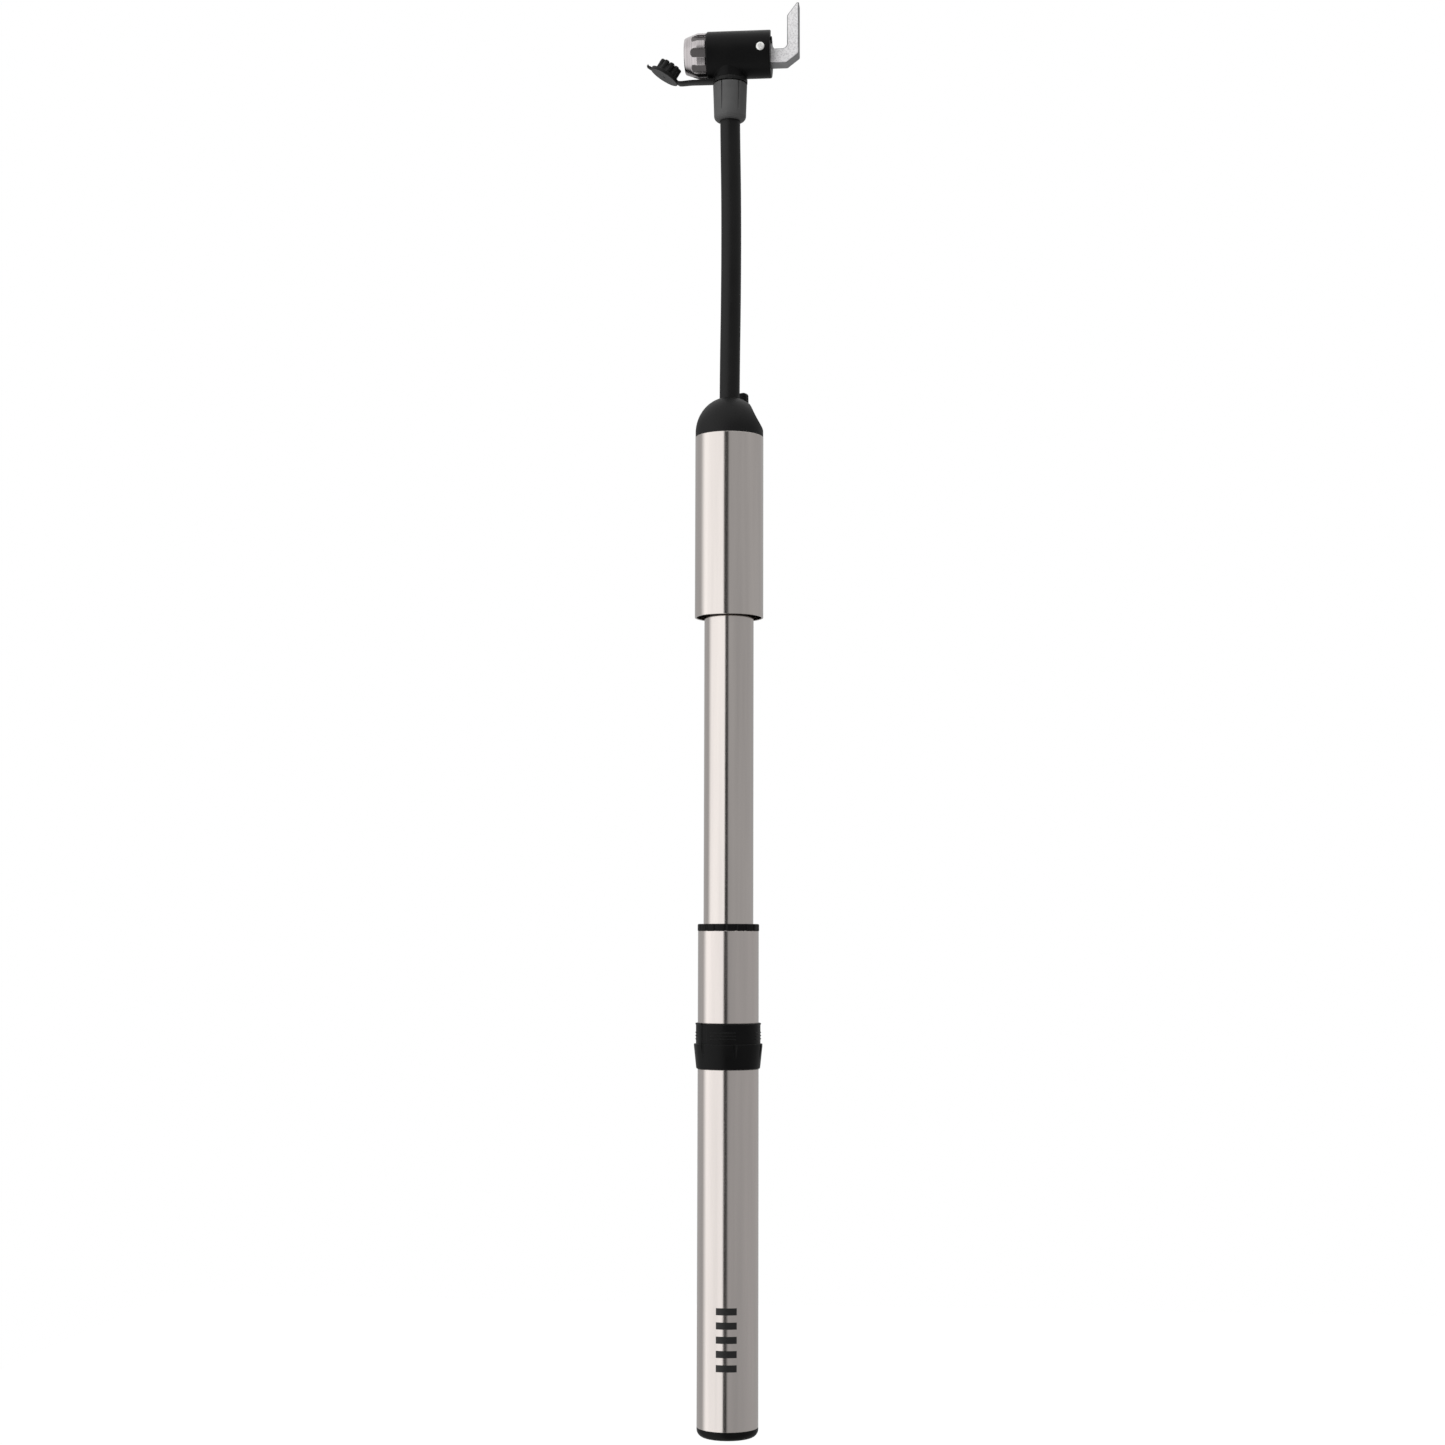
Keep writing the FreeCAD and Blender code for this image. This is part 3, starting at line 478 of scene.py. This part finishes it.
wears = {
    "tube": ["inner_tube", "handle_sleeve"],
    "barrel": ["barrel_tube"],
    "turned": ["nozzle_nut"],
    "plastic": ["foot_cap", "gland_nut", "lock_collar", "sleeve_core", "head_body", "valve_retainer"],
    "dome": ["dome_cap"],
    "pin": ["lever_pin"],
    "rubber": ["foot_seal", "bumper_pad", "wiper_ring", "piston_seal", "hose_gland", "plug_seal", "swivel_seal",
               "valve_gasket", "plunger_seal", "cap_strap", "dust_cap"],
    "ferrule": ["ferrule"],
    "disc": ["cap_disc"],
    "lever": ["lever"],
    "inner": ["guide_bush", "piston", "valve_poppet", "plunger"],
    "steel": ["valve_spring", "swivel_clip"],
    "brass": ["hose_plug", "swivel_stem"],
}
for look, wearers in wears.items():
    for name in wearers:
        mesh = nodes[name].data
        mesh.materials.clear()
        mesh.materials.append(looks[look])
        mesh.polygons.foreach_set("use_smooth", [True] * len(mesh.polygons))
hose.data.materials.append(looks["rubber"])
print("materials done")


def pickFaces(test):
    mesh = bmesh.from_edit_mesh(bpy.context.object.data)
    bpy.ops.mesh.select_all(action="DESELECT")
    mesh.faces.ensure_lookup_table()
    for face in mesh.faces:
        face.select_set(test(face))
    bmesh.update_edit_mesh(bpy.context.object.data)


def applyModifier(piece, kind, **values):
    modifier = piece.modifiers.new(kind.lower(), kind)
    for label, value in values.items():
        setattr(modifier, label, value)
    bpy.context.view_layer.objects.active = piece
    bpy.ops.object.modifier_apply(modifier=modifier.name)


def applyPlace(piece):
    deselectAll()
    piece.select_set(True)
    bpy.context.view_layer.objects.active = piece
    bpy.ops.object.transform_apply(location=True, rotation=True, scale=True)


def joinPieces(pieces, name):
    deselectAll()
    for piece in pieces:
        piece.select_set(True)
    bpy.context.view_layer.objects.active = pieces[0]
    bpy.ops.object.join()
    pieces[0].name = name
    return pieces[0]


def finishPiece(piece, body, node, look):
    applyPlace(piece)
    bpy.ops.object.shade_smooth_by_angle(angle=math.radians(40))
    piece.data.materials.clear()
    piece.data.materials.append(looks[look])
    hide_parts(node)
    if body:
        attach(piece, body)


hinge = next(joint for joint in frame["joints"] if joint["name"] == "cap_hinge")
hingePlace = Vector(hinge["pos_m"])
openTurn = math.radians(hinge["range_deg"][1])
headHeight = 0.5748

# dust cap, made as it sits on the nozzle: rimmed disc, tapered plug, ten lobes and a pull tab
capValues = {"face": -0.02065, "back": -0.01925, "rim": 0.0066, "recess": 0.0061, "recessDepth": 0.0006,
             "plug": 0.0049, "plugTip": 0.0040, "plugEnd": -0.0152, "lobes": 10, "lobe": 0.00115,
             "lobeRing": 0.0040, "tabHalf": 0.0015, "tabThick": 0.0008, "tabRoot": 0.0014, "tabStep": 0.0006,
             "crownWall": 0.0008, "crownDepth": 0.0012, "edge": 0.00022}


def addCapDisc(values):
    deselectAll()
    depth = values["back"] - values["face"]
    bpy.ops.mesh.primitive_cylinder_add(vertices=96, radius=values["rim"], depth=depth,
                                        location=((values["face"] + values["back"]) / 2, 0, headHeight),
                                        rotation=(0, math.radians(90), 0))
    disc = bpy.context.object
    applyPlace(disc)
    bpy.ops.object.mode_set(mode="EDIT")
    bpy.ops.mesh.select_mode(type="FACE")
    pickFaces(lambda face: face.normal.x < -0.9)
    bpy.ops.mesh.inset(thickness=values["rim"] - values["recess"])
    bpy.ops.mesh.extrude_region_move(TRANSFORM_OT_translate={"value": (values["recessDepth"], 0, 0)})
    pickFaces(lambda face: face.normal.x > 0.9)
    bpy.ops.mesh.inset(thickness=values["rim"] - values["plug"])
    bpy.ops.mesh.extrude_region_move(TRANSFORM_OT_translate={"value": (values["plugEnd"] - values["back"], 0, 0)})
    share = values["plugTip"] / values["plug"]
    bpy.ops.transform.resize(value=(1, share, share), center_override=(values["plugEnd"], 0, headHeight))
    bpy.ops.mesh.inset(thickness=values["crownWall"])
    bpy.ops.mesh.extrude_region_move(TRANSFORM_OT_translate={"value": (-values["crownDepth"], 0, 0)})
    bpy.ops.object.mode_set(mode="OBJECT")
    applyModifier(disc, "BEVEL", width=values["edge"], segments=3, limit_method="ANGLE")
    return disc


def addCapLobes(values):
    deselectAll()
    length = values["plugEnd"] - values["back"]
    bpy.ops.mesh.primitive_cylinder_add(vertices=20, radius=values["lobe"], depth=length,
                                        location=(values["back"] + length / 2, 0, headHeight + values["lobeRing"]),
                                        rotation=(0, math.radians(90), 0))
    first = bpy.context.object
    applyPlace(first)
    bpy.ops.object.mode_set(mode="EDIT")
    bpy.ops.mesh.select_mode(type="FACE")
    pickFaces(lambda face: face.normal.x > 0.9)
    bpy.ops.transform.translate(value=(0.0004, 0, 0))
    bpy.ops.mesh.inset(thickness=0.0003)
    bpy.ops.mesh.extrude_region_move(TRANSFORM_OT_translate={"value": (0.00025, 0, 0)})
    bpy.ops.object.mode_set(mode="OBJECT")
    applyModifier(first, "BEVEL", width=0.0003, segments=3, limit_method="ANGLE")
    lobes = [first]
    for index in range(1, values["lobes"]):
        lobe = first.copy()
        lobe.data = first.data.copy()
        bpy.context.scene.collection.objects.link(lobe)
        turn = Matrix.Rotation(index * 2 * math.pi / values["lobes"], 4, "X")
        centre = Matrix.Translation((0, 0, headHeight))
        lobe.matrix_world = centre @ turn @ centre.inverted()
        lobes.append(lobe)
    return lobes


def addCapTab(values):
    deselectAll()
    bpy.ops.mesh.primitive_cube_add(size=1, scale=(values["tabThick"], 2 * values["tabHalf"], values["tabRoot"]),
                                    location=(values["face"] + 0.0006, 0, headHeight + values["rim"] + 0.0002))
    tab = bpy.context.object
    applyPlace(tab)
    bpy.ops.object.mode_set(mode="EDIT")
    bpy.ops.mesh.select_mode(type="FACE")
    pickFaces(lambda face: face.normal.z > 0.9)
    bpy.ops.mesh.extrude_region_move(TRANSFORM_OT_translate={"value": (0, 0, values["tabStep"])})
    bpy.ops.transform.resize(value=(1, 0.8, 1))
    bpy.ops.mesh.extrude_region_move(TRANSFORM_OT_translate={"value": (0.0002, 0, values["tabStep"])})
    bpy.ops.transform.resize(value=(1.5, 1.15, 1))
    bpy.ops.object.mode_set(mode="OBJECT")
    applyModifier(tab, "BEVEL", width=values["edge"], segments=3, limit_method="ANGLE")
    return tab


def addDustCap(values):
    cap = joinPieces([addCapDisc(values), *addCapLobes(values), addCapTab(values)], "dustCapRubber")
    there, back = Matrix.Translation(hingePlace), Matrix.Translation(-hingePlace)
    cap.matrix_world = there @ Matrix.Rotation(-openTurn, 4, "Y") @ back @ cap.matrix_world
    finishPiece(cap, "dust_cap", "dust_cap", "rubber")
    return cap


addDustCap(capValues)

# strap: a ring round the neck and a tongue whose end sits in the cap's rim
strapValues = {"low": 0.56215, "high": 0.56395, "inner": 0.00565, "outer": 0.0074, "half": 0.0027, "thick": 0.0009,
               "path": [(-0.0066, 0.5634), (-0.0098, 0.5634), (-0.013, 0.5634), (-0.0155, 0.5634), (-0.0172, 0.56335),
                        (-0.0190, 0.5632), (-0.0206, 0.5631), (-0.0217, 0.56315), (-0.0223, 0.5635),
                        (-0.0227, 0.5638)],
               "taper": 0.82, "blendStart": -0.0150, "blendEnd": -0.0207}


def addStrapRing(values):
    deselectAll()
    bpy.ops.mesh.primitive_plane_add(size=1, location=((values["inner"] + values["outer"]) / 2, 0,
                                                       (values["low"] + values["high"]) / 2),
                                     rotation=(math.radians(90), 0, 0))
    profile = bpy.context.object
    profile.scale = (values["outer"] - values["inner"], values["high"] - values["low"], 1)
    applyPlace(profile)
    bpy.ops.object.mode_set(mode="EDIT")
    bpy.ops.mesh.select_all(action="SELECT")
    bpy.ops.mesh.spin(steps=72, angle=2 * math.pi, center=(0, 0, 0), axis=(0, 0, 1))
    bpy.ops.mesh.select_all(action="SELECT")
    bpy.ops.mesh.remove_doubles(threshold=0.00001)
    bpy.ops.mesh.delete_loose()
    bpy.ops.mesh.select_all(action="SELECT")
    bpy.ops.mesh.select_mode(type="FACE")
    pickFaces(lambda face: abs(face.normal.y) > 0.999 and abs(face.calc_center_median().y) < 1e-6
              and face.calc_area() > 2.5e-6)
    bpy.ops.mesh.delete(type="FACE")
    bpy.ops.mesh.select_all(action="SELECT")
    bpy.ops.mesh.normals_make_consistent(inside=False)
    bpy.ops.object.mode_set(mode="OBJECT")
    applyModifier(profile, "BEVEL", width=0.0002, segments=3, limit_method="ANGLE")
    return profile


def addStrapTongue(values):
    deselectAll()
    (x, z), (nextX, nextZ) = values["path"][:2]
    bpy.ops.mesh.primitive_cube_add(size=1, location=((x + nextX) / 2, 0, z),
                                    scale=(x - nextX, 2 * values["half"], values["thick"]))
    tongue = bpy.context.object
    applyPlace(tongue)
    bpy.ops.object.mode_set(mode="EDIT")
    bpy.ops.mesh.select_mode(type="FACE")
    pickFaces(lambda face: face.normal.x < -0.9)
    shrink = values["taper"] ** (1 / (len(values["path"]) - 2))
    for (x, z), (nextX, nextZ) in zip(values["path"][1:], values["path"][2:]):
        bpy.ops.mesh.extrude_region_move(TRANSFORM_OT_translate={"value": (nextX - x, 0, nextZ - z)})
        bpy.ops.transform.resize(value=(1, shrink, 1), center_override=(nextX, 0, nextZ))
    bpy.ops.object.mode_set(mode="OBJECT")
    applyModifier(tongue, "BEVEL", width=0.00022, segments=2, limit_method="ANGLE")
    return tongue


def addStrap(values):
    strap = joinPieces([addStrapRing(values), addStrapTongue(values)], "capStrapRubber")
    finishPiece(strap, None, "cap_strap", "rubber")
    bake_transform(strap)
    return strap


addStrap(strapValues)
print("cap and strap done")

# small pale floor, white to the eye and mid-grey to the light
floorValues = {"size": 0.7, "shade": 0.6, "white": 1.05, "share": 0.97}


def addFloor(values):
    deselectAll()
    bpy.ops.mesh.primitive_plane_add(size=values["size"], location=(0, 0, 0))
    floor = bpy.context.object
    floor.name = "paleFloor"
    material, tree, shader = newMaterial("paleFloor")
    shader.inputs["Base Color"].default_value = (values["shade"],) * 3 + (1,)
    shader.inputs["Roughness"].default_value = 0.9
    seenWhite = addNode(tree, "ShaderNodeEmission")
    seenWhite.inputs["Strength"].default_value = values["white"]
    rays = addNode(tree, "ShaderNodeLightPath")
    share = mathNode(tree, "MULTIPLY", rays.outputs["Is Camera Ray"], values["share"])
    mixFloor = addNode(tree, "ShaderNodeMixShader")
    tree.links.new(share, mixFloor.inputs[0])
    tree.links.new(shader.outputs[0], mixFloor.inputs[1])
    tree.links.new(seenWhite.outputs[0], mixFloor.inputs[2])
    tree.links.new(mixFloor.outputs[0], tree.nodes["Material Output"].inputs[0])
    floor.data.materials.append(material)
    floor.visible_glossy = False


addFloor(floorValues)

# plain soft light tent: a white panel at the left, a black flag beside the camera and a grey panel at the right.
# angles go round from the front, and each level is how bright that panel is
tentValues = {
    "front": 5.5,
    "walls": [(-180, 0.45), (-110, 0.45), (-90, 1.2), (-20, 1.2), (-16, 0.05), (-5, 0.05), (0, 0.4), (180, 0.45)],
    "roofEdge": (0.45, 0.65), "roof": 1.0,
}


def addTent(values):
    world = bpy.data.worlds.new("lightTent")
    world.use_nodes = True
    tree = world.node_tree
    direction = addNode(tree, "ShaderNodeSeparateXYZ")
    tree.links.new(addNode(tree, "ShaderNodeTexCoord").outputs["Generated"], direction.inputs[0])
    towards = mathNode(tree, "MULTIPLY", direction.outputs["Y"], -1.0)
    angle = mathNode(tree, "ARCTAN2", direction.outputs["X"], towards)
    turned = mathNode(tree, "SUBTRACT", angle, math.radians(values["front"]))
    share = mathNode(tree, "MULTIPLY_ADD", turned, 1 / (2 * math.pi))
    share.node.inputs[2].default_value = 0.5
    walls = rampNode(tree, share, [(turn / 360 + 0.5, (level,) * 3) for turn, level in values["walls"]])
    upward = addNode(tree, "ShaderNodeMapRange", interpolation_type="SMOOTHSTEP")
    upward.inputs["From Min"].default_value, upward.inputs["From Max"].default_value = values["roofEdge"]
    tree.links.new(direction.outputs["Z"], upward.inputs["Value"])
    tent = tree.nodes["Background"]
    tree.links.new(mixColour(tree, upward.outputs[0], walls, (values["roof"],) * 3), tent.inputs["Color"])
    white = addNode(tree, "ShaderNodeBackground")
    white.inputs["Color"].default_value = (1, 1, 1, 1)
    rays = addNode(tree, "ShaderNodeLightPath")
    mix = addNode(tree, "ShaderNodeMixShader")
    tree.links.new(rays.outputs["Is Camera Ray"], mix.inputs[0])
    tree.links.new(tent.outputs[0], mix.inputs[1])
    tree.links.new(white.outputs[0], mix.inputs[2])
    tree.links.new(mix.outputs[0], tree.nodes["World Output"].inputs[0])
    bpy.context.scene.world = world


addTent(tentValues)


def addSoftbox(name, azimuth, distance, height, width, tall, power):
    angle = math.radians(azimuth)
    place = Vector((distance * math.sin(angle), -distance * math.cos(angle), height))
    bpy.ops.object.light_add(type="AREA", location=place)
    light = bpy.context.object
    light.name = name
    light.data.shape = "RECTANGLE"
    light.data.size = width
    light.data.size_y = tall
    light.data.energy = power
    aim = Vector((0, 0, 0.3)) - place
    light.rotation_euler = aim.to_track_quat("-Z", "Y").to_euler()
    return light


# fill lights shade the matt surfaces and stay out of the metal's reflections
for name, azimuth, distance, height, power in [("frontFill", -20, 1.6, 0.7, 4), ("topFill", -30, 1.0, 1.9, 4)]:
    addSoftbox(name, azimuth, distance, height, 1.2, 1.2, power).visible_glossy = False
bpy.context.scene.view_settings.view_transform = "Standard"
print("stage done")
